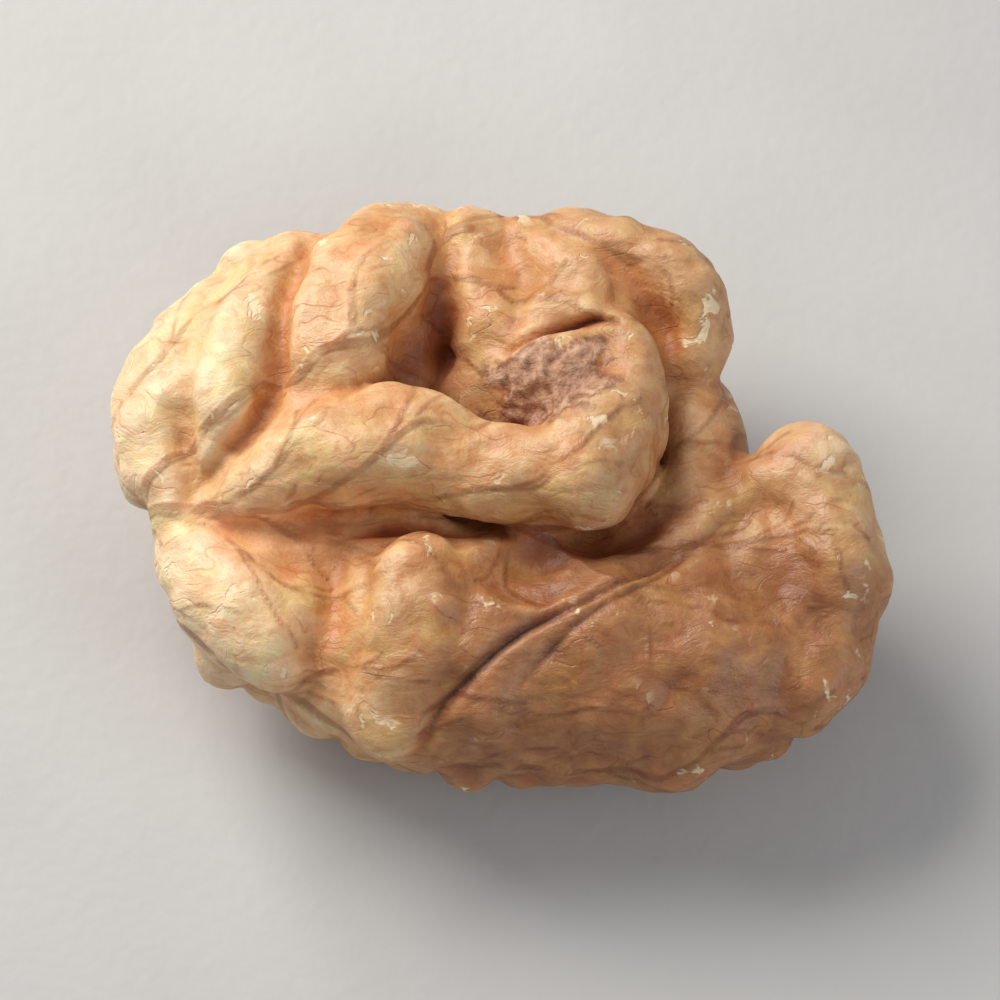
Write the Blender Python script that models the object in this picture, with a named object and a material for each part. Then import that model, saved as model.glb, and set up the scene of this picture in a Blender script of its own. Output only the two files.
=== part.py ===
"""One half of a shelled walnut, lying on its back with its inner face up.

The half is one grown piece. Rounded masses make its two lobes, and ropes of changing thickness make
the folds of the inner face and the rim. A voxel remesh fuses them and a smoothing softens the joins.
Creases are then pressed into the skin by formula: drawn ones on the inner face, and on the back a
winding maze, as on a brain. Lengths are in millimetres until the end, and +X runs along the seam.
"""

import math

import bmesh
import bpy
import numpy as np
from mathutils import Matrix, Vector

MM = 0.001
NAME = "kernel_half"

# The lobes: rounded masses, as a centre and three radii, with the web between them last.
MASSES = [
    ((-3.4, 5.0, 5.45), (10.2, 6.6, 5.2)),
    ((4.0, 6.7, 5.5), (4.8, 5.0, 4.9)),
    ((1.8, -4.0, 5.55), (11.8, 5.9, 5.2)),
    ((6.6, -5.2, 5.6), (6.6, 4.8, 4.8)),
    ((-8.4, -3.6, 5.8), (3.9, 2.7, 3.8)),
    ((11.4, -2.4, 6.0), (3.6, 5.0, 3.8)),
    ((-1.0, 0.9, 5.2), (11.4, 3.4, 3.8)),
]

# The hollows of the inner face, which its folds stand in.
HOLLOWS = [
    ((-2.6, 2.9, 13.8), (9.6, 6.0, 6.6)),
    ((5.2, 1.8, 13.4), (5.4, 5.4, 6.2)),
    ((-2.2, 6.4, 9.0), (2.2, 2.8, 3.0)),
    ((1.5, -2.4, 12.2), (3.5, 2.3, 3.1)),
]

# The folds of the inner face, as x, y, z and radius along each.
FOLDS = {
    "upper_inner": [(-3.6, 11.8, 8.2, 2.1), (-4.6, 10.8, 9.2, 2.5), (-5.7, 8.9, 9.7, 2.8),
                    (-6.8, 6.5, 9.9, 2.5), (-8.0, 4.6, 9.6, 1.9), (-9.2, 3.0, 8.8, 1.3)],
    "inner_slope": [(-3.9, 10.6, 8.0, 2.3), (-4.2, 8.6, 7.9, 2.4), (-4.8, 6.8, 7.6, 2.4),
                    (-5.8, 5.2, 7.2, 2.2)],
    "end_outer": [(-9.8, 10.4, 7.4, 2.0), (-12.2, 7.3, 7.8, 2.2), (-13.2, 3.9, 8.0, 2.2),
                  (-12.3, 1.2, 7.6, 1.9)],
    "end_inner": [(-7.9, 10.6, 8.3, 2.1), (-9.9, 7.8, 9.2, 2.3), (-10.6, 5.2, 9.5, 2.3),
                  (-10.9, 3.0, 8.9, 1.9)],
    "saddle_left": [(-1.0, 11.4, 8.3, 2.0), (-0.7, 10.0, 8.7, 1.9), (-0.1, 8.6, 8.7, 1.8),
                    (0.5, 7.2, 8.4, 1.8)],
    "saddle_middle": [(1.0, 10.6, 8.1, 1.9), (1.8, 9.2, 8.6, 1.9), (2.6, 7.6, 8.6, 1.9)],
    "saddle_right": [(1.4, 11.2, 8.3, 1.9), (2.9, 10.2, 9.2, 1.9), (4.0, 8.9, 9.5, 1.8),
                     (4.4, 7.4, 9.2, 1.9)],
    "bridge": [(-1.0, 6.0, 6.4, 2.0), (0.7, 5.9, 7.9, 2.3), (2.4, 5.9, 8.9, 2.6), (3.8, 5.1, 8.9, 2.6)],
    "cleft_floor": [(-1.9, 11.4, 7.6, 1.9), (-2.0, 9.8, 7.2, 1.9), (-2.0, 8.2, 6.0, 1.9),
                    (-2.2, 6.6, 4.9, 1.9), (-3.2, 5.0, 4.4, 1.8)],
    "tongue": [(-11.2, 0.7, 8.6, 0.9), (-9.4, 1.4, 9.4, 1.8), (-6.8, 2.1, 10.0, 2.5), (-5.2, 2.3, 10.1, 2.5),
               (-3.4, 2.4, 10.2, 2.6), (-0.9, 1.7, 10.0, 1.9), (0.6, 1.4, 10.1, 2.1), (1.9, 1.3, 10.0, 2.2),
               (3.3, 1.7, 10.1, 2.7), (4.2, 2.5, 10.1, 2.6)],
    "bridge_rim": [(4.6, 3.2, 10.2, 2.2), (5.3, 4.8, 10.4, 1.5), (5.3, 6.8, 10.7, 1.1),
                   (3.8, 8.2, 10.7, 0.9), (1.8, 8.4, 10.1, 0.9)],
    "far_curl": [(2.2, 11.6, 8.4, 1.4), (3.6, 11.9, 9.2, 1.5), (5.4, 11.2, 9.6, 1.5), (7.4, 9.8, 9.7, 1.5),
                 (8.4, 8.2, 9.3, 1.4), (7.8, 6.8, 8.5, 1.2)],
    "far_end": [(7.4, 6.0, 7.2, 1.6), (8.0, 4.5, 7.4, 1.8), (8.4, 2.8, 7.3, 1.9), (7.4, 0.9, 7.2, 1.9),
                (5.6, -0.6, 6.8, 1.7)],
    "curl_floor": [(3.6, 10.0, 7.9, 1.2), (5.4, 9.2, 7.9, 1.3), (6.8, 8.0, 7.5, 1.3)],
    "groove_floor": [(-10.8, -0.8, 7.3, 1.3), (-8.2, -1.0, 7.3, 1.6), (-5.6, -1.0, 7.2, 1.6),
                     (-2.6, -0.8, 7.4, 1.5), (0.4, -1.5, 7.2, 1.5), (3.0, -2.0, 6.9, 1.4),
                     (5.6, -1.4, 6.9, 1.3)],
    "groove_side": [(9.8, 1.3, 7.8, 1.5), (8.4, -0.2, 8.2, 1.2), (6.6, -1.6, 8.5, 1.0), (4.2, -2.7, 8.9, 0.9),
                    (1.6, -3.6, 9.0, 0.9), (-0.6, -4.8, 8.8, 1.0)],
    "near_end": [(-12.0, -1.1, 7.6, 1.7), (-10.6, -3.2, 7.8, 2.3), (-8.8, -4.4, 7.8, 2.2),
                 (-6.6, -4.9, 7.2, 2.1)],
    "near_ridge": [(-3.2, -2.5, 9.7, 1.7), (-2.9, -3.7, 9.2, 2.3), (-3.1, -5.2, 8.0, 2.8),
                   (-3.7, -6.8, 6.3, 2.8)],
    "flap": [(10.6, 1.3, 8.0, 1.6), (12.0, 1.9, 8.8, 2.0), (13.2, 0.6, 8.9, 2.0), (13.6, -1.8, 8.4, 2.0),
             (13.3, -4.2, 7.4, 2.0), (11.9, -6.6, 6.6, 2.1)],
}

# How finely the masses and folds are fused, how far the smoothing then reaches, and how often the
# directions that the creases are pressed in are blended.
VOXEL = 0.3
SOFTENING = 0.45
EASING = 6

# Creases drawn on the inner face from above, as x, y, width and depth along each.
CREASES = {
    "cleft": [(-1.8, 11.4, 0.8, 0.2), (-2.0, 9.6, 1.1, 0.4), (-2.2, 7.8, 1.3, 0.5), (-3.4, 5.8, 1.2, 0.4)],
    "end_a": [(-10.2, 10.2, 0.7, 0.2), (-11.6, 7.8, 0.8, 0.3), (-12.3, 5.2, 0.8, 0.3), (-12.6, 2.9, 0.8, 0.4),
              (-12.2, 1.4, 0.7, 0.4)],
    "end_b": [(-7.6, 11.2, 0.7, 0.3), (-8.4, 8.7, 0.7, 0.5), (-8.7, 6.6, 0.7, 0.6), (-8.8, 4.9, 0.7, 0.7),
              (-9.7, 3.2, 0.7, 0.6), (-11.1, 1.9, 0.6, 0.4), (-12.3, 0.7, 0.6, 0.3)],
    "curl": [(3.2, 10.8, 0.8, 0.1), (5.0, 9.8, 1.1, 0.2), (6.5, 8.4, 1.1, 0.2), (7.2, 6.6, 0.8, 0.1)],
    "near_valley": [(-6.2, -1.6, 0.8, 0.1), (-6.4, -2.8, 1.0, 0.3), (-6.7, -4.6, 1.1, 0.5),
                    (-7.3, -6.2, 1.0, 0.5)],
    "near_line": [(7.6, -1.4, 0.7, 0.1), (4.4, -3.6, 0.7, 0.3), (0.8, -5.6, 0.7, 0.4), (-2.0, -8.0, 0.7, 0.3),
                  (-3.4, -9.6, 0.6, 0.1)],
    "near_line_low": [(9.4, 0.0, 0.6, 0.1), (6.4, -2.8, 0.6, 0.2), (3.4, -5.0, 0.6, 0.2),
                      (1.0, -7.4, 0.6, 0.1)],
    "crack": [(0.4, 6.5, 0.6, 0.2), (1.8, 7.1, 0.6, 0.5), (3.4, 7.5, 0.6, 0.6), (4.8, 7.4, 0.6, 0.2)],
    "under_tongue": [(-5.6, -0.7, 0.6, 0.1), (-4.2, -0.5, 0.7, 0.4), (-2.8, -0.5, 0.7, 0.4),
                     (-1.4, -0.8, 0.6, 0.2)],
}

# The maze on the back: creases where a sum of waves crosses zero, with rounded folds between them.
MAZE_SEED = 12
MAZE_WAVES = 26
MAZE_LENGTH = 5.4
MAZE_STRETCH = (1.5, 0.8, 0.6)
MAZE_SLACK = 0.35
MAZE_DEPTH = 1.4
FOLD_HALF_WIDTH = 1.5
CREASE_FLOOR = 0.2

# The maze starts below the first height and is at its full depth below the second, with both lower
# on the near side and at the tip, which are smoother. It is only on skin that faces away from the
# middle of the inner face.
BACK_TOP = 9.6
BACK_BASE = 6.0
NEAR_DROP = 3.0
NEAR_REACH = 6.0
TIP_START = 9.0
TIP_REACH = 4.0
INNER_MIDDLE = (0, 1.5, 9)

# The furrow between the lobes on the back, as x, y, width and depth along it.
FURROW = [(-14.0, 0.2, 1.2, 0.9), (-10.0, 1.1, 1.1, 1.1), (-6.0, 0.2, 1.1, 1.1), (-2.0, 1.2, 1.0, 1.1),
          (2.0, 0.5, 1.0, 1.1), (6.0, 1.6, 1.1, 1.2), (9.0, 1.2, 1.1, 1.2), (12.0, 2.4, 1.4, 1.2)]

# Low swells over the whole skin.
SWELL_SEED = 5
SWELL_WAVES = 20
SWELL_LENGTH = 4.4
SWELL_HEIGHT = 0.14

# About how many triangles the skin has, and how much is cut off the lowest folds to rest on.
FACES = 9000
FLOOR_CUT = 0.45

SKIN_COLOUR = (0.60, 0.36, 0.17, 1)
SKIN_ROUGHNESS = 0.5


def through(points, steps=8):
    """The points of a smooth curve that passes through the given ones."""
    rows = np.array(points, float)
    ends = np.vstack([2 * rows[0] - rows[1], rows, 2 * rows[-1] - rows[-2]])
    curve = []
    for before, a, b, after in zip(ends, ends[1:], ends[2:], ends[3:]):
        for t in np.arange(steps) / steps:
            bend = (2 * before - 5 * a + 4 * b - after) * t**2 + (3 * a - before - 3 * b + after) * t**3
            curve.append(a + 0.5 * ((b - before) * t + bend))
    return np.array(curve + [rows[-1]])


def placed(name, data):
    obj = bpy.data.objects.new(name, data)
    bpy.context.scene.collection.objects.link(obj)
    return obj


def placed_bmesh(name, bm):
    mesh = bpy.data.meshes.new(name)
    bm.to_mesh(mesh)
    bm.free()
    return placed(name, mesh)


def mesh_of(obj):
    """The object's mesh as its modifiers leave it, with the object itself removed."""
    graph = bpy.context.evaluated_depsgraph_get()
    mesh = bpy.data.meshes.new_from_object(obj.evaluated_get(graph))
    bpy.data.objects.remove(obj)
    return mesh


def add_ball(bm, centre, radii):
    shape = Matrix.Translation(centre) @ Matrix.Diagonal((*radii, 1))
    bmesh.ops.create_icosphere(bm, subdivisions=4, radius=1, matrix=shape)


def add_rope(bm, name, points):
    """A round rope with round ends along the points, thick and thin as they say."""
    curve = bpy.data.curves.new(name, "CURVE")
    curve.dimensions = "3D"
    curve.bevel_depth = 1
    curve.bevel_resolution = 5
    curve.use_fill_caps = True
    spline = curve.splines.new("POLY")
    rows = through(points)
    spline.points.add(len(rows) - 1)
    for point, (x, y, z, radius) in zip(spline.points, rows):
        point.co = (x, y, z, 1)
        point.radius = radius
    bm.from_mesh(mesh_of(placed(name, curve)))
    for x, y, z, radius in (points[0], points[-1]):
        add_ball(bm, (x, y, z), (radius, radius, radius))


def fuse(obj):
    """Makes one skin of all that the object's mesh holds."""
    remesh = obj.modifiers.new("fuse", "REMESH")
    remesh.mode = "VOXEL"
    remesh.voxel_size = VOXEL


def hollow_lobes():
    bm = bmesh.new()
    for centre, radii in HOLLOWS:
        add_ball(bm, centre, radii)
    cutter = placed_bmesh("hollow", bm)
    bm = bmesh.new()
    for centre, radii in MASSES:
        add_ball(bm, centre, radii)
    lobes = placed_bmesh("lobes", bm)
    fuse(lobes)
    cut = lobes.modifiers.new("hollow", "BOOLEAN")
    cut.operation = "DIFFERENCE"
    cut.use_self = True
    cut.object = cutter
    mesh = mesh_of(lobes)
    bpy.data.objects.remove(cutter)
    return mesh


def folded_half():
    """The lobes and the folds of the inner face as one softened skin, still without creases."""
    bm = bmesh.new()
    bm.from_mesh(hollow_lobes())
    for name, points in FOLDS.items():
        add_rope(bm, name, points)
    half = placed_bmesh("half", bm)
    fuse(half)
    soften = half.modifiers.new("soften", "SMOOTH")
    soften.factor = 0.5
    soften.iterations = round(4 * (SOFTENING / VOXEL) ** 2)
    return mesh_of(half)


def swell(spots, seed, count, length, stretch=(1, 1, 1)):
    """Height and slope, at each spot, of a sum of waves that run in directions drawn at random."""
    draw = np.random.default_rng(seed)
    ways = draw.normal(size=(count, 3)) * stretch
    pace = 2 * math.pi / length * draw.uniform(0.75, 1.3, count)
    ways *= (pace / np.linalg.norm(ways, axis=1))[:, None]
    turn = spots @ ways.T + draw.uniform(0, 2 * math.pi, count)
    share = math.sqrt(2 / count)
    return share * np.sin(turn).sum(1), share * np.cos(turn) @ ways


def maze_depth(spots, normals):
    """Depth below the tops of the back's folds, from the distance to the nearest crease."""
    height, slope = swell(spots, MAZE_SEED, MAZE_WAVES, MAZE_LENGTH, MAZE_STRETCH)
    slope -= (slope * normals).sum(1)[:, None] * normals
    away = np.abs(height) / np.maximum(np.linalg.norm(slope, axis=1), MAZE_SLACK)
    side = np.minimum(np.hypot(away, CREASE_FLOOR) / FOLD_HALF_WIDTH, 1)
    return MAZE_DEPTH * (1 - np.sqrt(1 - (1 - side) ** 2))


def drawn_depth(spots, points):
    """Depth at each spot of a crease that is drawn from above."""
    rows = through(points)
    depth = np.zeros(len(spots))
    for a, b in zip(rows, rows[1:]):
        along = b[:2] - a[:2]
        t = np.clip((spots[:, :2] - a[:2]) @ along / (along @ along), 0, 1)
        away = np.linalg.norm(spots[:, :2] - a[:2] - t[:, None] * along, axis=1)
        width = a[2] + t * (b[2] - a[2])
        deep = a[3] + t * (b[3] - a[3])
        depth = np.maximum(depth, deep * np.exp(-3 * (away / width) ** 2))
    return depth


def eased(values, mesh):
    """The values at the mesh's vertices, blended a few times with their neighbours'."""
    pairs = np.empty(len(mesh.edges) * 2, int)
    mesh.edges.foreach_get("vertices", pairs)
    a, b = pairs.reshape(-1, 2).T
    count = len(values)
    neighbours = np.bincount(a, minlength=count) + np.bincount(b, minlength=count)
    values = values.copy()
    for _ in range(EASING):
        for column in values.T:
            near = np.bincount(a, column[b], count) + np.bincount(b, column[a], count)
            column += 0.5 * (near / neighbours - column)
    return values


def press_creases(mesh):
    spots = np.empty(len(mesh.vertices) * 3)
    normals = np.empty(len(mesh.vertices) * 3)
    mesh.vertices.foreach_get("co", spots)
    mesh.vertex_normals.foreach_get("vector", normals)
    spots = spots.reshape(-1, 3)
    normals = normals.reshape(-1, 3)
    up = normals[:, 2]
    outward = spots - INNER_MIDDLE
    outward = (normals * outward).sum(1) / np.linalg.norm(outward, axis=1)
    smoother = np.maximum(-spots[:, 1] / NEAR_REACH, (spots[:, 0] - TIP_START) / TIP_REACH)
    start = BACK_TOP - NEAR_DROP * np.clip(smoother, 0, 1)
    back = np.clip((start - spots[:, 2]) / (BACK_TOP - BACK_BASE), 0, 1)
    back *= np.clip(1.2 - 2 * up, 0, 1) * np.clip(2.5 * outward, 0, 1)
    furrow = drawn_depth(spots, FURROW) * np.clip(-2 * up, 0, 1)
    depth = np.maximum(maze_depth(spots, normals) * back, furrow)
    for points in CREASES.values():
        depth += drawn_depth(spots, points) * np.clip(3 * up, 0, 1)
    depth += SWELL_HEIGHT * swell(spots, SWELL_SEED, SWELL_WAVES, SWELL_LENGTH)[0]
    spots -= depth[:, None] * eased(normals, mesh)
    mesh.vertices.foreach_set("co", spots.ravel())
    mesh.update()


def with_fewer_faces(mesh):
    obj = placed("fewer", mesh)
    fewer = obj.modifiers.new("fewer", "DECIMATE")
    fewer.ratio = FACES / sum(len(face.vertices) - 2 for face in mesh.polygons)
    return mesh_of(obj)


def stand_on_flats(bm):
    """Cuts the lowest folds level, and puts the origin in that plane under the middle of the half."""
    floor = min(vert.co.z for vert in bm.verts) + FLOOR_CUT
    everything = [*bm.verts, *bm.edges, *bm.faces]
    bmesh.ops.bisect_plane(bm, geom=everything, plane_co=(0, 0, floor), plane_no=(0, 0, -1), clear_outer=True)
    rims = [edge for edge in bm.edges if edge.is_boundary]
    bmesh.ops.holes_fill(bm, edges=rims, sides=0)
    bmesh.ops.triangulate(bm, faces=bm.faces)
    low = Vector(min(vert.co[i] for vert in bm.verts) for i in range(3))
    high = Vector(max(vert.co[i] for vert in bm.verts) for i in range(3))
    middle = (low + high) / 2
    bmesh.ops.translate(bm, verts=bm.verts, vec=(-middle.x, -middle.y, -floor))


def skin_material():
    skin = bpy.data.materials.new("walnut_skin")
    skin.use_nodes = True
    shader = skin.node_tree.nodes["Principled BSDF"]
    shader.inputs["Base Color"].default_value = SKIN_COLOUR
    shader.inputs["Roughness"].default_value = SKIN_ROUGHNESS
    shader.inputs["Metallic"].default_value = 0
    return skin


def main():
    for obj in list(bpy.data.objects):
        bpy.data.objects.remove(obj)
    mesh = folded_half()
    press_creases(mesh)
    bm = bmesh.new()
    bm.from_mesh(with_fewer_faces(mesh))
    stand_on_flats(bm)
    bmesh.ops.scale(bm, verts=bm.verts, vec=(MM, MM, MM))
    half = placed_bmesh(NAME, bm)
    half.data.shade_smooth()
    half.data.materials.append(skin_material())


main()
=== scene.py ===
"""A shelled walnut half, lying on its back on a pale table with its inner face up."""

import heapq
import math

import bmesh
import bpy
import numpy as np
from mathutils import Matrix, Vector
from mathutils.bvhtree import BVHTree
from mathutils.kdtree import KDTree


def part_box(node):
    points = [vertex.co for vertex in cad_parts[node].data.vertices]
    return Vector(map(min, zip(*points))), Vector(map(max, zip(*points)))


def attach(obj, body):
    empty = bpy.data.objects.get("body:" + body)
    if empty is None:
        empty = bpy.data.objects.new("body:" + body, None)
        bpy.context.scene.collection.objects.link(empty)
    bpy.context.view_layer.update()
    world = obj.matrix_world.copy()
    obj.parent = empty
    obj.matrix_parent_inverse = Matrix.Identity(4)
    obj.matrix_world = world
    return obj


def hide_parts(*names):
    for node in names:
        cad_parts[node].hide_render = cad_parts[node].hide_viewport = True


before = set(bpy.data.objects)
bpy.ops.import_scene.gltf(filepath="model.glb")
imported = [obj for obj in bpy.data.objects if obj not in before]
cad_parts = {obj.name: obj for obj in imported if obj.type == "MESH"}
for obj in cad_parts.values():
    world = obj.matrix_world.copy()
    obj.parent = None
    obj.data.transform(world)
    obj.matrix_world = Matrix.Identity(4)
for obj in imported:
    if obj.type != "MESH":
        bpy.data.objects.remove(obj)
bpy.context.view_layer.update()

# THE KERNEL HALF
# One grown piece of oily nut flesh in a thin tan skin. It filled one side of the shell, so its back
# took the shell's winding folds, and its inner face curled round the woody wall between the halves.
# It is built up from rounded lobes and long folds, which are fused and softened, and its creases are
# then pressed in. Lengths here are in millimetres, and +X runs along the seam of the nut.

MM = 0.001
LOBES = [
    ((-3.4, 5.0, 5.45), (10.2, 6.6, 5.2)),
    ((4.0, 6.7, 5.5), (4.8, 5.0, 4.9)),
    ((1.8, -4.0, 5.55), (11.8, 5.9, 5.2)),
    ((6.6, -5.2, 5.6), (6.6, 4.8, 4.8)),
    ((-8.4, -3.6, 5.8), (3.9, 2.7, 3.8)),
    ((11.4, -2.4, 6.0), (3.6, 5.0, 3.8)),
    ((-1.0, 0.9, 5.2), (11.4, 3.4, 3.8)),
]
INNER_HOLLOWS = [
    ((-2.6, 2.9, 13.8), (9.6, 6.0, 6.6)),
    ((5.2, 1.8, 13.4), (5.4, 5.4, 6.2)),
    ((-2.2, 6.4, 9.0), (2.2, 2.8, 3.0)),
    ((1.5, -2.4, 12.2), (3.5, 2.3, 3.1)),
]
INNER_FOLDS = [
    # the fold along the far side of the cleft, and its slope down into it
    [(-3.6, 11.8, 8.2, 2.1), (-4.6, 10.8, 9.2, 2.5), (-5.7, 8.9, 9.7, 2.8), (-6.8, 6.5, 9.9, 2.5),
     (-8.0, 4.6, 9.6, 1.9), (-9.2, 3.0, 8.8, 1.3)],
    [(-3.9, 10.6, 8.0, 2.3), (-4.2, 8.6, 7.9, 2.4), (-4.8, 6.8, 7.6, 2.4), (-5.8, 5.2, 7.2, 2.2)],
    # two folds side by side round the blunt end
    [(-9.8, 10.4, 7.4, 2.0), (-12.2, 7.3, 7.8, 2.2), (-13.2, 3.9, 8.0, 2.2), (-12.3, 1.2, 7.6, 1.9)],
    [(-7.9, 10.6, 8.3, 2.1), (-9.9, 7.8, 9.2, 2.3), (-10.6, 5.2, 9.5, 2.3), (-10.9, 3.0, 8.9, 1.9)],
    # the saddle down from the far rim, a hollow between two ridges, and the bridge between the lobes
    [(-1.0, 11.4, 8.3, 2.0), (-0.7, 10.0, 8.7, 1.9), (-0.1, 8.6, 8.7, 1.8), (0.5, 7.2, 8.4, 1.8)],
    [(1.0, 10.6, 8.1, 1.9), (1.8, 9.2, 8.6, 1.9), (2.6, 7.6, 8.6, 1.9)],
    [(1.4, 11.2, 8.3, 1.9), (2.9, 10.2, 9.2, 1.9), (4.0, 8.9, 9.5, 1.8), (4.4, 7.4, 9.2, 1.9)],
    [(-1.0, 6.0, 6.4, 2.0), (0.7, 5.9, 7.9, 2.3), (2.4, 5.9, 8.9, 2.6), (3.8, 5.1, 8.9, 2.6)],
    # the floor of the cleft
    [(-1.9, 11.4, 7.6, 1.9), (-2.0, 9.8, 7.2, 1.9), (-2.0, 8.2, 6.0, 1.9), (-2.2, 6.6, 4.9, 1.9),
     (-3.2, 5.0, 4.4, 1.8)],
    # the tongue that lies over the groove, with its knob, and the thin rim that runs on from it
    [(-11.2, 0.7, 8.6, 0.9), (-9.4, 1.4, 9.4, 1.8), (-6.8, 2.1, 10.0, 2.5), (-5.2, 2.3, 10.1, 2.5),
     (-3.4, 2.4, 10.2, 2.6), (-0.9, 1.7, 10.0, 1.9), (0.6, 1.4, 10.1, 2.1), (1.9, 1.3, 10.0, 2.2),
     (3.3, 1.7, 10.1, 2.7), (4.2, 2.5, 10.1, 2.6)],
    [(4.6, 3.2, 10.2, 2.2), (5.3, 4.8, 10.4, 1.5), (5.3, 6.8, 10.7, 1.1), (3.8, 8.2, 10.7, 0.9),
     (1.8, 8.4, 10.1, 0.9)],
    # the curled far rim with the floor of its own small groove
    [(2.2, 11.6, 8.4, 1.4), (3.6, 11.9, 9.2, 1.5), (5.4, 11.2, 9.6, 1.5), (7.4, 9.8, 9.7, 1.5),
     (8.4, 8.2, 9.3, 1.4), (7.8, 6.8, 8.5, 1.2)],
    [(7.4, 6.0, 7.2, 1.6), (8.0, 4.5, 7.4, 1.8), (8.4, 2.8, 7.3, 1.9), (7.4, 0.9, 7.2, 1.9),
     (5.6, -0.6, 6.8, 1.7)],
    [(3.6, 10.0, 7.9, 1.2), (5.4, 9.2, 7.9, 1.3), (6.8, 8.0, 7.5, 1.3)],
    # the floor of the long groove under the tongue, and the low fold that runs along its near side
    [(-10.8, -0.8, 7.3, 1.3), (-8.2, -1.0, 7.3, 1.6), (-5.6, -1.0, 7.2, 1.6), (-2.6, -0.8, 7.4, 1.5),
     (0.4, -1.5, 7.2, 1.5), (3.0, -2.0, 6.9, 1.4), (5.6, -1.4, 6.9, 1.3)],
    [(9.8, 1.3, 7.8, 1.5), (8.4, -0.2, 8.2, 1.2), (6.6, -1.6, 8.5, 1.0), (4.2, -2.7, 8.9, 0.9),
     (1.6, -3.6, 9.0, 0.9), (-0.6, -4.8, 8.8, 1.0)],
    # the near lobe: its rounded end, the ridge that rises to the groove, and the flap at the tip
    [(-12.0, -1.1, 7.6, 1.7), (-10.6, -3.2, 7.8, 2.3), (-8.8, -4.4, 7.8, 2.2), (-6.6, -4.9, 7.2, 2.1)],
    [(-3.2, -2.5, 9.7, 1.7), (-2.9, -3.7, 9.2, 2.3), (-3.1, -5.2, 8.0, 2.8), (-3.7, -6.8, 6.3, 2.8)],
    [(10.6, 1.3, 8.0, 1.6), (12.0, 1.9, 8.8, 2.0), (13.2, 0.6, 8.9, 2.0), (13.6, -1.8, 8.4, 2.0),
     (13.3, -4.2, 7.4, 2.0), (11.9, -6.6, 6.6, 2.1)],
]
GRAIN_OF_CLAY = 0.18
SOFTENING = 0.45


def smooth_path(points, steps=8):
    """The points of a smooth curve that passes through the given ones."""
    rows = np.array(points, float)
    ends = np.vstack([2 * rows[0] - rows[1], rows, 2 * rows[-1] - rows[-2]])
    path = []
    for before, a, b, after in zip(ends, ends[1:], ends[2:], ends[3:]):
        for t in np.arange(steps) / steps:
            bend = (2 * before - 5 * a + 4 * b - after) * t**2 + (3 * a - before - 3 * b + after) * t**3
            path.append(a + 0.5 * ((b - before) * t + bend))
    return np.array(path + [rows[-1]])


def placed(name, data):
    obj = bpy.data.objects.new(name, data)
    bpy.context.scene.collection.objects.link(obj)
    return obj


def placed_bmesh(name, bm):
    mesh = bpy.data.meshes.new(name)
    bm.to_mesh(mesh)
    bm.free()
    return placed(name, mesh)


def mesh_of(obj):
    """The object's mesh as its modifiers leave it, with the object itself removed."""
    graph = bpy.context.evaluated_depsgraph_get()
    mesh = bpy.data.meshes.new_from_object(obj.evaluated_get(graph))
    bpy.data.objects.remove(obj)
    return mesh


def add_ball(bm, centre, radii):
    shape = Matrix.Translation(centre) @ Matrix.Diagonal((*radii, 1))
    bmesh.ops.create_icosphere(bm, subdivisions=4, radius=1, matrix=shape)


def add_fold(bm, points):
    """A round rope of flesh with round ends, thick and thin as its points say."""
    curve = bpy.data.curves.new("fold", "CURVE")
    curve.dimensions = "3D"
    curve.bevel_depth = 1
    curve.bevel_resolution = 7
    curve.use_fill_caps = True
    spline = curve.splines.new("POLY")
    path = smooth_path(points)
    spline.points.add(len(path) - 1)
    for point, (x, y, z, radius) in zip(spline.points, path):
        point.co = (x, y, z, 1)
        point.radius = radius
    bm.from_mesh(mesh_of(placed("fold", curve)))
    for x, y, z, radius in (points[0], points[-1]):
        add_ball(bm, (x, y, z), (radius, radius, radius))


def fuse(obj):
    """Makes one skin of all that the object's mesh holds."""
    remesh = obj.modifiers.new("fuse", "REMESH")
    remesh.mode = "VOXEL"
    remesh.voxel_size = GRAIN_OF_CLAY


hollows = bmesh.new()
for centre, radii in INNER_HOLLOWS:
    add_ball(hollows, centre, radii)
cutter = placed_bmesh("hollows", hollows)
lobes = bmesh.new()
for centre, radii in LOBES:
    add_ball(lobes, centre, radii)
lobes = placed_bmesh("lobes", lobes)
fuse(lobes)
cut = lobes.modifiers.new("hollow", "BOOLEAN")
cut.operation = "DIFFERENCE"
cut.use_self = True
cut.object = cutter
flesh = bmesh.new()
flesh.from_mesh(mesh_of(lobes))
bpy.data.objects.remove(cutter)
for points in INNER_FOLDS:
    add_fold(flesh, points)
flesh = placed_bmesh("flesh", flesh)
fuse(flesh)
soften = flesh.modifiers.new("soften", "SMOOTH")
soften.factor = 0.5
soften.iterations = round(4 * (SOFTENING / GRAIN_OF_CLAY) ** 2)
skin = mesh_of(flesh)

# The creases. The back's are a winding maze between rounded folds, and a furrow parts its lobes. The
# inner face has few: between the folds of the blunt end, in the cleft and the small far groove, and
# fine ones where its skin dried.

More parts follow.
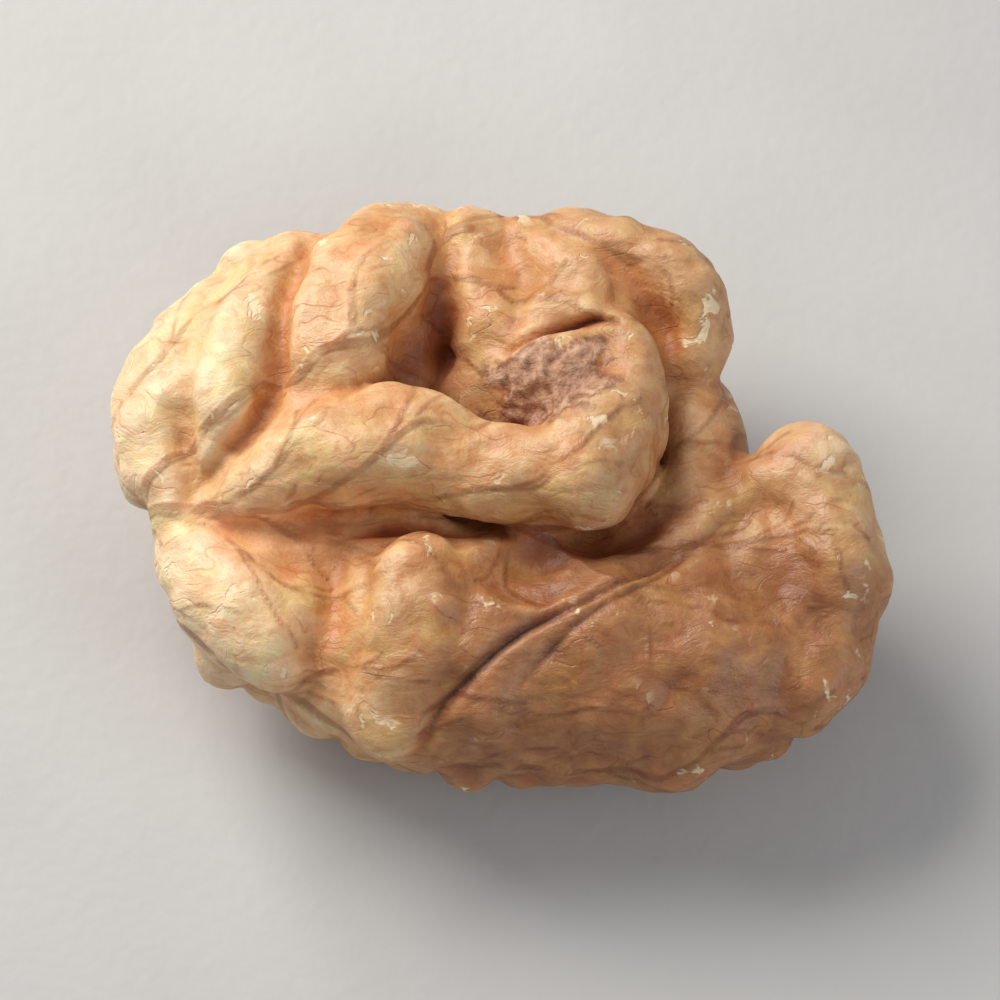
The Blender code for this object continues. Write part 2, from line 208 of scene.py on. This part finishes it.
BACK_TOP = 9.6
BACK_BASE = 6.0
NEAR_DROP = 3.0
NEAR_REACH = 6.0
TIP_START = 9.0
TIP_REACH = 4.0
INNER_MIDDLE = (0, 1.5, 9)
MAZE_SLACK = 0.35
MAZE_DEPTH = 1.4
FOLD_HALF_WIDTH = 1.5
CREASE_FLOOR = 0.12
SWELL_HEIGHT = 0.14
FURROW = [(-14.0, 0.2, 1.2, 0.9), (-10.0, 1.1, 1.1, 1.1), (-6.0, 0.2, 1.1, 1.1), (-2.0, 1.2, 1.0, 1.1),
          (2.0, 0.5, 1.0, 1.1), (6.0, 1.6, 1.1, 1.2), (9.0, 1.2, 1.1, 1.2), (12.0, 2.4, 1.4, 1.2)]
SOFT_CREASES = [
    [(-1.8, 11.4, 0.8, 0.2), (-2.0, 9.6, 1.1, 0.4), (-2.2, 7.8, 1.3, 0.5), (-3.4, 5.8, 1.2, 0.4)],
    [(-10.2, 10.2, 0.7, 0.2), (-11.6, 7.8, 0.8, 0.3), (-12.3, 5.2, 0.8, 0.3), (-12.6, 2.9, 0.8, 0.4),
     (-12.2, 1.4, 0.7, 0.4)],
    [(-7.6, 11.2, 0.7, 0.3), (-8.4, 8.7, 0.7, 0.5), (-8.7, 6.6, 0.7, 0.6), (-8.8, 4.9, 0.7, 0.7),
     (-9.7, 3.2, 0.7, 0.6), (-11.1, 1.9, 0.6, 0.4), (-12.3, 0.7, 0.6, 0.3)],
    [(3.2, 10.8, 0.8, 0.1), (5.0, 9.8, 1.1, 0.2), (6.5, 8.4, 1.1, 0.2), (7.2, 6.6, 0.8, 0.1)],
    [(-6.2, -1.6, 0.8, 0.1), (-6.4, -2.8, 1.0, 0.3), (-6.7, -4.6, 1.1, 0.5), (-7.3, -6.2, 1.0, 0.5)],
]
FINE_CREASES = [
    [(7.6, -1.4, 0.35, 0.1), (4.4, -3.6, 0.4, 0.3), (0.8, -5.6, 0.4, 0.4), (-2.0, -8.0, 0.4, 0.3),
     (-3.4, -9.6, 0.35, 0.1)],
    [(9.4, 0.0, 0.3, 0.1), (6.4, -2.8, 0.35, 0.2), (3.4, -5.0, 0.35, 0.2), (1.0, -7.4, 0.3, 0.1)],
    [(0.4, 6.5, 0.3, 0.2), (1.8, 7.1, 0.3, 0.5), (3.4, 7.5, 0.3, 0.6), (4.8, 7.4, 0.3, 0.3)],
    [(-5.6, -0.7, 0.4, 0.1), (-4.2, -0.5, 0.5, 0.5), (-2.8, -0.5, 0.5, 0.5), (-1.4, -0.8, 0.4, 0.2)],
]


def swell(spots, seed, count, length, stretch=(1, 1, 1)):
    """Height and slope, at each spot, of a sum of waves that run in directions drawn at random."""
    draw = np.random.default_rng(seed)
    ways = draw.normal(size=(count, 3)) * stretch
    pace = 2 * math.pi / length * draw.uniform(0.75, 1.3, count)
    ways *= (pace / np.linalg.norm(ways, axis=1))[:, None]
    turn = spots @ ways.T + draw.uniform(0, 2 * math.pi, count)
    share = math.sqrt(2 / count)
    return share * np.sin(turn).sum(1), share * np.cos(turn) @ ways


def pressed(spots, lines):
    """Depth at each spot of creases drawn from above, as x, y, width and depth along each."""
    depth = np.zeros(len(spots))
    for line in lines:
        path = smooth_path(line)
        for a, b in zip(path, path[1:]):
            along = b[:2] - a[:2]
            t = np.clip((spots[:, :2] - a[:2]) @ along / (along @ along), 0, 1)
            away = np.linalg.norm(spots[:, :2] - a[:2] - t[:, None] * along, axis=1)
            width = a[2] + t * (b[2] - a[2])
            deep = a[3] + t * (b[3] - a[3])
            depth = np.maximum(depth, deep * np.exp(-3 * (away / width) ** 2))
    return depth


def rising(value, low, high):
    """0 below low, 1 above high and smooth between."""
    t = np.clip((value - low) / (high - low), 0, 1)
    return t * t * (3 - 2 * t)


def eased(values, mesh, rounds):
    """Values at the mesh's vertices, each blended again and again with its neighbours'."""
    pairs = np.empty(len(mesh.edges) * 2, int)
    mesh.edges.foreach_get("vertices", pairs)
    a, b = pairs.reshape(-1, 2).T
    count = len(mesh.vertices)
    neighbours = np.bincount(a, minlength=count) + np.bincount(b, minlength=count)
    values = np.array(values, float).reshape(count, -1)
    for _ in range(rounds):
        for column in values.T:
            near = np.bincount(a, column[b], count) + np.bincount(b, column[a], count)
            column += 0.5 * (near / neighbours - column)
    return values


def measured(mesh):
    """The mesh's vertices and their normals."""
    spots = np.empty(len(mesh.vertices) * 3)
    normals = np.empty(len(mesh.vertices) * 3)
    mesh.vertices.foreach_get("co", spots)
    mesh.vertex_normals.foreach_get("vector", normals)
    return spots.reshape(-1, 3), normals.reshape(-1, 3)


spots, normals = measured(skin)
up = normals[:, 2]
outward = spots - INNER_MIDDLE
outward = (normals * outward).sum(1) / np.linalg.norm(outward, axis=1)
crest, slope = swell(spots, seed=12, count=26, length=5.4, stretch=(1.5, 0.8, 0.6))
slope -= (slope * normals).sum(1)[:, None] * normals
from_crease = np.abs(crest) / np.maximum(np.linalg.norm(slope, axis=1), MAZE_SLACK)
side = np.minimum(np.hypot(from_crease, CREASE_FLOOR) / FOLD_HALF_WIDTH, 1)
smoother = np.maximum(-spots[:, 1] / NEAR_REACH, (spots[:, 0] - TIP_START) / TIP_REACH)
start = BACK_TOP - NEAR_DROP * np.clip(smoother, 0, 1)
back = np.clip((start - spots[:, 2]) / (BACK_TOP - BACK_BASE), 0, 1)
back *= np.clip(1.2 - 2 * up, 0, 1) * np.clip(2.5 * outward, 0, 1)
maze = MAZE_DEPTH * (1 - np.sqrt(1 - (1 - side) ** 2)) * back
maze = np.maximum(maze, pressed(spots, [FURROW]) * np.clip(-2 * up, 0, 1))
soft_creases = pressed(spots, SOFT_CREASES) * np.clip(3 * up, 0, 1)
fine_creases = pressed(spots, FINE_CREASES) * np.clip(3 * up, 0, 1)
depth = maze + soft_creases + fine_creases + SWELL_HEIGHT * swell(spots, seed=5, count=20, length=4.4)[0]

# The dried skin is drawn into low waves and fine winding wrinkles. Where the woody wall broke away, on
# the bridge between the lobes, it left a rough scar.

SCAR_MIDDLE = (2.1, 4.8)
SCAR_HALF_SIZE = (3.1, 2.0)
SCAR_DEPTH = 0.10
SCAR_ROUGHNESS = 0.07
WAVE_HEIGHT = 0.045
SMALL_WAVE_HEIGHT = 0.018
WRINKLE_DEPTH = 0.05
WRINKLE_WIDTH = 0.16
wave = swell(spots, seed=21, count=40, length=2.2)[0]
small_wave = swell(spots, seed=34, count=60, length=1.1)[0]
winding_line = swell(spots, seed=47, count=40, length=2.6, stretch=(0.5, 1.3, 1.3))[0]
wrinkle = np.exp(-(winding_line / WRINKLE_WIDTH) ** 2)
edge = np.hypot(*((spots[:, :2] - SCAR_MIDDLE) / SCAR_HALF_SIZE).T) + 0.14 * wave + 0.05 * small_wave
scar = (1 - rising(edge, 0.6, 1.05)) * rising(up, 0.1, 0.5)
rough = swell(spots, seed=58, count=60, length=0.8)[0]
depth += WAVE_HEIGHT * wave + SMALL_WAVE_HEIGHT * small_wave + WRINKLE_DEPTH * wrinkle
depth += scar * (SCAR_DEPTH + SCAR_ROUGHNESS * rough)
spots_before = spots
spots = spots - depth[:, None] * eased(normals, skin, rounds=16)
skin.vertices.foreach_set("co", spots.ravel())
skin.update()

# Its underside is cut level where it lies, as in the frame, and the whole is set in the frame's box.

FLOOR_CUT = 0.45
cad_low, cad_high = (np.array(corner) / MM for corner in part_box("kernel_half"))
low = spots.min(0)
high = spots.max(0)
low[2] += FLOOR_CUT
fit = (cad_high - cad_low) / (high - low)
spots = cad_low + (spots - low) * fit
spots[:, 2] = np.maximum(spots[:, 2], 0)
skin.vertices.foreach_set("co", spots.ravel())
skin.update()

# What the skin's colour follows, kept at each vertex. Hollows and creases are darker and ridges paler,
# partly the skin's own colour and partly painted shade and light; shut-in places get painted shade.

spots, normals = measured(skin)


def sunk(rounds):
    """How far each vertex lies below the skin round it, in millimetres, more rounds looking wider."""
    level = eased(spots, skin, round(rounds * (0.18 / GRAIN_OF_CLAY) ** 2))
    return ((level - spots) * normals).sum(1)


def hidden(reach, count):
    """The share of the open side of each vertex that other folds close off within the reach."""
    tree = BVHTree.FromPolygons(spots.tolist(), [tuple(face.vertices) for face in skin.polygons])
    turn = np.arange(count) * math.pi * (3 - math.sqrt(5))
    rise = np.sqrt(1 - (np.arange(count) + 0.5) / count)
    flat = np.sqrt(1 - rise**2)
    across = np.cross(normals, np.where(np.abs(normals[:, 2:]) < 0.9, (0, 0, 1), (1, 0, 0)))
    across /= np.linalg.norm(across, axis=1)[:, None]
    beside = np.cross(normals, across)
    shut = np.zeros(len(spots))
    starts = [Vector(spot) for spot in (spots + 0.06 * normals).tolist()]
    for angle, lift, out in zip(turn, rise, flat):
        ways = lift * normals + out * (math.cos(angle) * across + math.sin(angle) * beside)
        for i, (begin, way) in enumerate(zip(starts, ways.tolist())):
            distance = tree.ray_cast(begin, Vector(way), reach)[3]
            if distance is not None:
                shut[i] += 1 - distance / reach
    return shut / count


def keep(name, values):
    skin.attributes.new(name, "FLOAT", "POINT").data.foreach_set("value", np.ravel(values))


# The deep cleft and the groove under the tongue, darkened with painted shadow.
SHADOWED_HOLLOWS = [
    [(-1.9, 10.8, 1.0, 0.4), (-2.1, 9.2, 1.5, 0.8), (-2.5, 7.6, 2.1, 1.0), (-3.6, 6.2, 2.1, 1.0),
     (-5.6, 4.9, 1.4, 0.5)],
    [(-2.2, -0.8, 0.9, 0.5), (0.4, -1.2, 1.3, 0.9), (3.0, -1.6, 1.4, 1.0), (5.4, -1.2, 1.3, 0.8),
     (7.0, 0.6, 1.1, 0.5)],
]
# Hollows made orange and a little lighter: partly the skin's own amber, partly painted glow of light
# bounced between the folds.
AMBER_GLOW_HOLLOWS = [
    [(-12.4, 0.7, 1.0, 0.6), (-10.4, -0.6, 1.5, 1.0), (-8.0, -0.9, 1.8, 1.0), (-5.6, -0.8, 1.5, 0.9),
     (-3.0, -0.7, 1.0, 0.6)],
    [(-8.7, 5.6, 0.8, 0.0), (-8.9, 4.5, 1.0, 0.3), (-9.9, 3.1, 1.1, 0.5), (-11.6, 1.4, 1.0, 0.6)],
    [(-6.2, -1.6, 1.0, 0.2), (-6.6, -4.0, 1.2, 0.3), (-7.2, -6.0, 1.2, 0.3)],
    [(3.6, 10.8, 1.0, 0.4), (5.6, 9.4, 1.1, 0.9), (7.0, 7.6, 1.0, 0.7)],
]
wide_sunk = sunk(rounds=140)
x, y, z = spots_before.T
faces_up = rising(normals[:, 2], -0.2, 0.3)
low_down = rising(10.6 - z, 0, 1.4)
blunt_end = rising(-x, 6, 12)
flap = rising(x, 10.5, 14) * rising(y, -3, 1)
# Masks that darken hollows and creases, partly the skin's own colour and partly painted shade, and
# shut-in places with painted shade only.
keep("small_sunk", sunk(rounds=10) / 0.06)
keep("wide_sunk", wide_sunk / 0.6)
keep("shut", eased(hidden(reach=6, count=10), skin, rounds=20))
keep("scar", scar)
keep("flank", rising(x, -6, -1) * rising(-y, 0.8, 3.2))
keep("creased", np.clip(np.maximum(maze / 1.2, fine_creases / 0.5), 0, 1))
keep("right", rising(x, -5, 9))
# Lighter blunt end and tip, on their upper parts only: painted light on skin that is a little paler
# there.
keep("lit_pale_end", np.maximum(blunt_end, 0.8 * flap) * rising(z, 2.5, 7.5))
keep("hollow_shadow", pressed(spots_before, SHADOWED_HOLLOWS) * low_down * faces_up)
keep("amber_glow_hollow", pressed(spots_before, AMBER_GLOW_HOLLOWS) * faces_up)

# The main veins of the skin. They spread from the blunt end, each along its shortest way over the
# skin, so that they meet and branch as real ones do.

VEIN_ENDS = 260
VEIN_ROOT = (-13.6, -1.6, 6.5)
VEIN_HALF_WIDTH = 0.5
draw = np.random.default_rng(71)
count = len(spots)
detour = swell(spots, seed=83, count=40, length=3.0)[0].clip(-1.5, 1.5)
effort = 1 + 0.45 * detour + 0.3 * draw.random(count) + 0.8 * wide_sunk.clip(0, 1)
near = [[] for _ in range(count)]
for face in skin.polygons:
    corners = list(face.vertices)
    for i, a in enumerate(corners):
        for b in corners[i + 1:]:
            near[a].append(b)
            near[b].append(a)
points = spots.tolist()
root = int(np.argmin(np.linalg.norm(spots - VEIN_ROOT, axis=1)))
cost = [math.inf] * count
cost[root] = 0
came_from = [-1] * count
queue = [(0.0, root)]
while queue:
    so_far, a = heapq.heappop(queue)
    if so_far > cost[a]:
        continue
    for b in near[a]:
        onward = so_far + math.dist(points[a], points[b]) * effort[b]
        if onward < cost[b]:
            cost[b] = onward
            came_from[b] = a
            heapq.heappush(queue, (onward, b))
flow = np.zeros(count, int)
lines = []
for end in draw.choice(count, VEIN_ENDS, replace=False):
    line = []
    while end >= 0:
        line.append(end)
        flow[end] += 1
        end = came_from[end]
    lines.append(line)
drawn = {}
for line in lines:
    bend = spots[line]
    for _ in range(6):
        bend[1:-1] = 0.5 * bend[1:-1] + 0.25 * (bend[:-2] + bend[2:])
    for vertex, place, onward in zip(line, bend, np.vstack([bend[1:], bend[-1:]])):
        drawn.setdefault(vertex, (place.tolist(), (0.5 * (place + onward)).tolist()))
lookup = KDTree(2 * len(drawn))
for vertex, places in drawn.items():
    for place in places:
        lookup.insert(place, vertex)
lookup.balance()
vein = np.empty(count)
for i, place in enumerate(points):
    _, vertex, away = lookup.find(place)
    thick = min(1, 0.5 + 0.1 * math.log(flow[vertex] + 1))
    vein[i] = thick * max(0, 1 - away / VEIN_HALF_WIDTH)
keep("vein", vein)

skin.transform(Matrix.Scale(MM, 4))
skin.shade_smooth()
kernel = placed("kernel", skin)

# Its skin: cream and straw on the ridges, amber in the hollows and dark brown deep in the creases,
# partly its own colours and partly painted light and shade. The colours are mixed from a fresh set and a
# duller, darker one that the broad near side and the half towards the tip have more of, partly duller
# skin and partly painted shade.

walnut_skin = bpy.data.materials.new("walnut_skin")
walnut_skin.use_nodes = True
tree = walnut_skin.node_tree
shader = tree.nodes["Principled BSDF"]


def feed(socket, value):
    """Sets the socket to a value, or links it where the value is another node's output."""
    if isinstance(value, bpy.types.NodeSocket):
        socket.id_data.links.new(value, socket)
    else:
        socket.default_value = value


def maths(operation, a, b=0.0, clamp=False):
    """A sum worked out by a node, here as in what follows in the tree of the material being made."""
    node = tree.nodes.new("ShaderNodeMath")
    node.operation = operation
    node.use_clamp = clamp
    feed(node.inputs[0], a)
    feed(node.inputs[1], b)
    return node.outputs[0]


def total(start, *parts):
    """The start with each part's value added, times the part's share."""
    for value, share in parts:
        start = maths("ADD", start, maths("MULTIPLY", value, share))
    return start


def between(value, low, high):
    """0 below low, 1 above high and smooth between."""
    node = tree.nodes.new("ShaderNodeMapRange")
    node.interpolation_type = "SMOOTHSTEP"
    feed(node.inputs["Value"], value)
    feed(node.inputs["From Min"], low)
    feed(node.inputs["From Max"], high)
    return node.outputs["Result"]


def kept(name):
    node = tree.nodes.new("ShaderNodeAttribute")
    node.attribute_name = name
    return node.outputs["Fac"]


def noise(where, scale, detail=3.0, roughness=0.5, out="Fac"):
    node = tree.nodes.new("ShaderNodeTexNoise")
    feed(node.inputs["Vector"], where)
    node.inputs["Scale"].default_value = scale
    node.inputs["Detail"].default_value = detail
    node.inputs["Roughness"].default_value = roughness
    return node.outputs[out]


def from_dot(where, scale):
    """The distance, in cells, to the nearest of dots scattered at random, one to a cell."""
    node = tree.nodes.new("ShaderNodeTexVoronoi")
    feed(node.inputs["Vector"], where)
    node.inputs["Scale"].default_value = scale
    return node.outputs["Distance"]


def ramp(value, stops):
    node = tree.nodes.new("ShaderNodeValToRGB")
    feed(node.inputs["Fac"], value)
    stones = node.color_ramp.elements
    stones[0].position, stones[1].position = stops[0][0], stops[-1][0]
    for place, _ in stops[1:-1]:
        stones.new(place)
    for stone, (_, colour) in zip(stones, stops):
        stone.color = (*colour, 1)
    return node.outputs["Color"]


def mixed(share, a, b, blend="MIX"):
    node = tree.nodes.new("ShaderNodeMix")
    node.data_type = "RGBA"
    node.blend_type = blend
    feed(node.inputs["Factor"], share)
    for socket, value in ((node.inputs[6], a), (node.inputs[7], b)):
        feed(socket, value if isinstance(value, bpy.types.NodeSocket) else (*value, 1))
    return node.outputs[2]


def covered(colour, mask, strength, cover):
    return mixed(maths("MULTIPLY", mask, strength), colour, cover)


def tinted(colour, mask, strength, tint):
    return mixed(maths("MULTIPLY", mask, strength), colour, tint, "MULTIPLY")


def moved(where, by, amount):
    """The place shifted by a noise's colour, so that what is drawn there winds."""
    node = tree.nodes.new("ShaderNodeVectorMath")
    node.operation = "MULTIPLY_ADD"
    feed(node.inputs[0], by)
    node.inputs[1].default_value = (amount, amount, amount)
    feed(node.inputs[2], where)
    return node.outputs[0]


def scaled(where, factors):
    node = tree.nodes.new("ShaderNodeVectorMath")
    node.operation = "MULTIPLY"
    feed(node.inputs[0], where)
    node.inputs[1].default_value = factors
    return node.outputs[0]


in_mm = scaled(tree.nodes.new("ShaderNodeTexCoord").outputs["Object"], (1000, 1000, 1000))
drift = noise(in_mm, 0.7, 1, 0.5, "Color")
winding = moved(in_mm, drift, 1.6)

small_sunk, wide_sunk, shut = kept("small_sunk"), kept("wide_sunk"), kept("shut")
scar, flank, creased, right = kept("scar"), kept("flank"), kept("creased"), kept("right")
cloud = noise(in_mm, 0.35, 4, 0.6)
blotch = noise(winding, 1.1, 4, 0.6)
streak = noise(scaled(winding, (0.3, 1, 1)), 3.5, 3, 0.65)

# Tone: random clouds, blotches and streaks, plus painted light on the ridges, the blunt end and the tip,
# and painted shade in hollows, creases, shut-in places and on the near flank; all but the shut-in shade
# are partly the skin's own colour.
tone = total(
    0.04, (cloud, 0.36), (blotch, 0.50), (streak, 0.22), (kept("lit_pale_end"), 0.20),
    (kept("amber_glow_hollow"), 0.16), (wide_sunk, -0.19), (small_sunk, -0.04), (shut, -0.04),
    (flank, -0.06), (creased, -0.24),
)

fresh = ramp(tone, [
    (0.00, (0.14, 0.032, 0.010)),
    (0.20, (0.38, 0.105, 0.024)),
    (0.38, (0.56, 0.215, 0.062)),
    (0.56, (0.67, 0.340, 0.135)),
    (0.76, (0.80, 0.530, 0.280)),
    (1.00, (0.90, 0.730, 0.490)),
])
dull_and_shaded = ramp(tone, [
    (0.00, (0.05, 0.016, 0.007)),
    (0.20, (0.14, 0.044, 0.015)),
    (0.38, (0.26, 0.092, 0.031)),
    (0.56, (0.38, 0.160, 0.060)),
    (0.76, (0.51, 0.253, 0.110)),
    (1.00, (0.67, 0.415, 0.228)),
])
# Duller and darker on the near flank and towards the tip: partly duller skin there, partly painted shade
# on the side away from the light.
dulled_and_shaded = total(-0.572, (flank, 0.75), (right, 0.56), (noise(in_mm, 0.6, 3), 1.3))
colour = mixed(dulled_and_shaded, fresh, dull_and_shaded)

# Patches where the skin is more yellow and more rosy; amber in the hollows, partly the skin's own colour
# and partly painted glow of light bounced between the folds; painted shadow in the cleft and the groove.
yellower = between(noise(winding, 0.55, 3, 0.6), 0.50, 0.62)
rosier = between(noise(moved(in_mm, drift, 3.0), 0.6, 3, 0.6), 0.50, 0.62)
colour = tinted(colour, yellower, 0.7, (0.96, 1.0, 0.76))
colour = tinted(colour, rosier, 0.7, (1.0, 0.84, 0.82))
uneven = total(0.6, (blotch, 0.8))
# Amber in the hollows: partly the skin's own colour, partly painted glow of bounced light.
amber_glow = maths("MULTIPLY", kept("amber_glow_hollow"), uneven, clamp=True)
# Painted shadow in the deep cleft and in the groove under the tongue.
painted_shadow = maths("MULTIPLY", kept("hollow_shadow"), uneven, clamp=True)
colour = tinted(colour, amber_glow, 0.70, (1.0, 0.60, 0.38))
colour = tinted(colour, painted_shadow, 0.90, (0.44, 0.21, 0.15))

# Its veins: the main ones, a little raised and darker, and fine ones that wind between them.
unbroken = between(noise(in_mm, 0.7, 1), 0.30, 0.55)
main_vein = maths("MULTIPLY", between(kept("vein"), 0.33, 0.62), unbroken)
along = scaled(moved(in_mm, drift, 1.1), (0.4, 1, 1))
from_line = maths("ABSOLUTE", maths("SUBTRACT", noise(along, 0.75, 1.2, 0.4), 0.5))
fine_vein = maths("SUBTRACT", 1, between(from_line, 0.0, 0.020))
fine_vein = maths("MULTIPLY", fine_vein, between(noise(in_mm, 0.6, 1), 0.40, 0.62))
colour = tinted(colour, main_vein, 0.60, (0.42, 0.22, 0.12))
colour = tinted(colour, fine_vein, 0.45, (0.70, 0.46, 0.30))

# Specks, and places on the ridges where the skin is rubbed through to the flesh.
dot = maths("SUBTRACT", 1, between(from_dot(in_mm, 1.6), 0.05, 0.13))
speck = maths("MULTIPLY", dot, between(noise(in_mm, 1.3, 2), 0.55, 0.7))
colour = covered(colour, speck, 0.6, (0.22, 0.095, 0.04))
worn = between(noise(winding, 0.75, 3, 0.65), 0.60, 0.66)
rubbed = maths("MULTIPLY", worn, between(wide_sunk, -0.1, -0.5))
colour = covered(colour, rubbed, 0.8, (0.87, 0.72, 0.47))

# The scar: rosy brown, pitted and dry, with a darker ragged edge.
pit = noise(in_mm, 1.9, 3, 0.65)
scarred = ramp(pit, [
    (0.28, (0.17, 0.070, 0.038)),
    (0.42, (0.40, 0.205, 0.125)),
    (0.58, (0.54, 0.320, 0.215)),
    (0.75, (0.68, 0.450, 0.310)),
])
colour = covered(colour, between(scar, 0.15, 0.85), 0.85, scarred)
scar_edge = maths("MULTIPLY", maths("MULTIPLY", scar, maths("SUBTRACT", 1, scar)), 4)
scar_edge = maths("MULTIPLY", scar_edge, between(pit, 0.60, 0.44))
colour = tinted(colour, scar_edge, 0.7, (0.42, 0.27, 0.20))
feed(shader.inputs["Base Color"], colour)

# Its sheen is oily on the skin and dry where that is scarred, rubbed or shut in, and a little light
# passes through the flesh near the surface. The fine relief is in millimetres.
dry = maths("MAXIMUM", scar, rubbed)
feed(shader.inputs["Roughness"], total(0.33, (blotch, 0.22), (shut, 0.25), (dry, 0.25)))
shader.inputs["Subsurface Weight"].default_value = 0.12
shader.inputs["Subsurface Radius"].default_value = (1.0, 0.45, 0.18)
shader.inputs["Subsurface Scale"].default_value = 0.0007

height = total(
    0, (noise(in_mm, 1.7, 4, 0.6), 0.07), (noise(in_mm, 9, 1, 0.6), 0.012), (streak, 0.05),
    (main_vein, 0.045), (fine_vein, -0.015), (rubbed, -0.04), (maths("MULTIPLY", pit, scar), 0.16),
)


def raise_surface(shader, height):
    """Lets the light see the height, in millimetres, as a relief on the shader's surface."""
    bump = tree.nodes.new("ShaderNodeBump")
    bump.inputs["Strength"].default_value = 1
    bump.inputs["Distance"].default_value = MM
    feed(bump.inputs["Height"], height)
    feed(shader.inputs["Normal"], bump.outputs["Normal"])


raise_surface(shader, height)
skin.materials.append(walnut_skin)
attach(kernel, "root")
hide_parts("kernel_half")

# THE TABLE
# A plain tabletop that the half lies on, of fibreboard under pale matt paint with the faint pebbling
# that a roller leaves.

table_mesh = bmesh.new()
bmesh.ops.create_grid(table_mesh, x_segments=1, y_segments=1, size=0.6)
table = placed_bmesh("table", table_mesh)
paint = bpy.data.materials.new("pale_paint")
paint.use_nodes = True
tree = paint.node_tree
shader = tree.nodes["Principled BSDF"]
in_mm = scaled(tree.nodes.new("ShaderNodeTexCoord").outputs["Object"], (1000, 1000, 1000))
wear = noise(in_mm, 0.06, 2, 0.6)
feed(shader.inputs["Base Color"], ramp(wear, [(0.35, (0.53, 0.52, 0.50)), (0.65, (0.57, 0.56, 0.54))]))
shader.inputs["Roughness"].default_value = 0.62
raise_surface(shader, maths("MULTIPLY", noise(in_mm, 1.4, 1, 0.5), 0.025))
table.data.materials.append(paint)

# THE LIGHT
# A soft window light above and to the left of the half, a weaker one from a reflector opposite, and
# the even light of a pale room.

MIDDLE = Vector((0, 0, 0.006))


def lamp(name, place, size, power, colour):
    """A square lamp, in metres and watts, that faces the middle of the half."""
    light = bpy.data.lights.new(name, "AREA")
    light.size = size
    light.energy = power
    light.color = colour
    obj = placed(name, light)
    obj.location = place
    obj.rotation_euler = (MIDDLE - Vector(place)).to_track_quat("-Z", "Y").to_euler()


lamp("window", (-0.11, 0.11, 0.14), 0.13, 0.53, (1, 0.97, 0.93))
lamp("reflector", (0.2, -0.12, 0.14), 0.16, 0.22, (0.95, 0.97, 1))
sky = bpy.data.worlds.new("room")
sky.use_nodes = True
sky.node_tree.nodes["Background"].inputs["Color"].default_value = (0.9, 0.94, 1, 1)
sky.node_tree.nodes["Background"].inputs["Strength"].default_value = 0.30
bpy.context.scene.world = sky

# THE CAMERA
# It looks down on the inner face from the near side, with a long lens, and its colours are shown as
# they are, without a film's curve.

ELEVATION = math.radians(68)
DISTANCE = 0.3
lens = bpy.data.cameras.new("camera")
lens.lens = 270
lens.clip_start = 0.01
camera = placed("camera", lens)
toward_camera = Vector((0, -math.cos(ELEVATION), math.sin(ELEVATION)))
camera.location = MIDDLE + toward_camera * DISTANCE
camera.rotation_euler = (-toward_camera).to_track_quat("-Z", "Y").to_euler()
bpy.context.scene.camera = camera
bpy.context.scene.view_settings.view_transform = "Standard"
